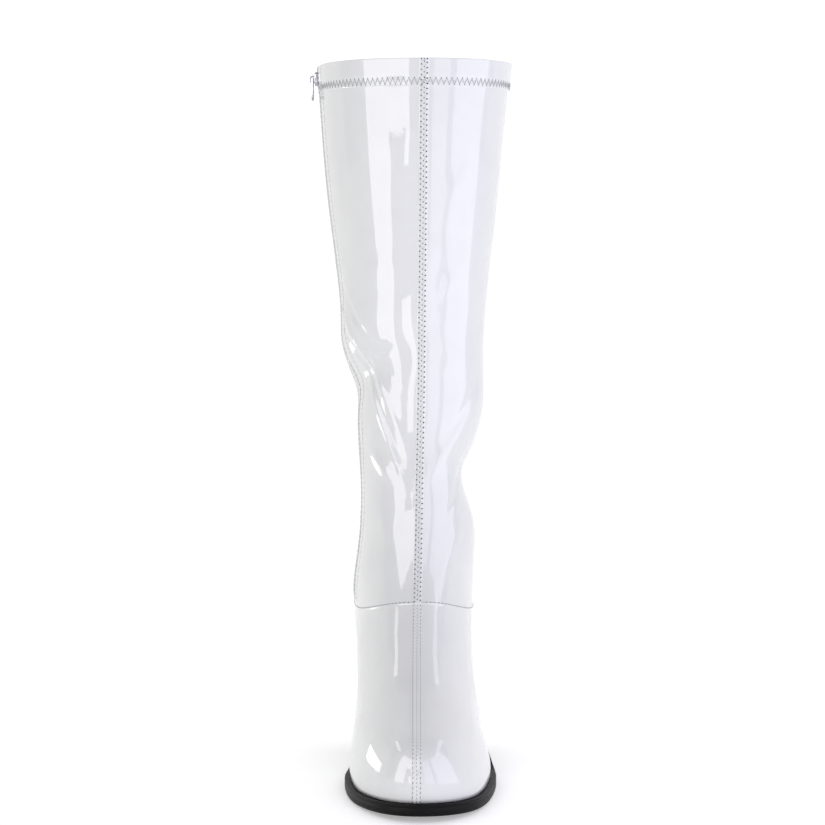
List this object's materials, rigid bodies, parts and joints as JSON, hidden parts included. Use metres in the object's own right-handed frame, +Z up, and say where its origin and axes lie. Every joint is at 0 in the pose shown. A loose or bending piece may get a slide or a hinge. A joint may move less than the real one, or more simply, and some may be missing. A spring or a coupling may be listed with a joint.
{
  "type": "go go boot",
  "caption": "Left calf-high white patent boot with centre-front seam, stitched top band, inner-side zip, black outsole and covered block heel.",
  "frame": {"origin": "on the floor, under the centre of the boot's bounding box", "axes": "+Z up, toe towards -Y, lateral (outer) side towards +X, zip side towards -X"},
  "size_m": [0.1242, 0.2452, 0.417],
  "materials": {
    "white_patent": "stretch patent, high gloss",
    "heel_cover": "patent wrap, high gloss",
    "sole_rubber": "satin moulded edge",
    "lift_rubber": "matt",
    "sock_lining": "matt sock",
    "zip_coil": "nylon coil",
    "slider_metal": "bright nickel",
    "pull_metal": "bright nickel"
  },
  "bodies": {
    "boot": {"upper": "white_patent", "outsole": "sole_rubber", "heel_block": "heel_cover", "heel_top_lift": "lift_rubber", "insole": "sock_lining", "zip_chain": "zip_coil", "zip_slider": "slider_metal"},
    "pull": {"zip_pull": "pull_metal"}
  },
  "joints": [
    {"name": "zip_pull_hinge", "type": "hinge", "parent": "boot", "child": "pull", "pos_m": [-0.05967, 0.06343, 0.40908], "axis": [0, 1, 0], "range_deg": [0, 160]}
  ]
}
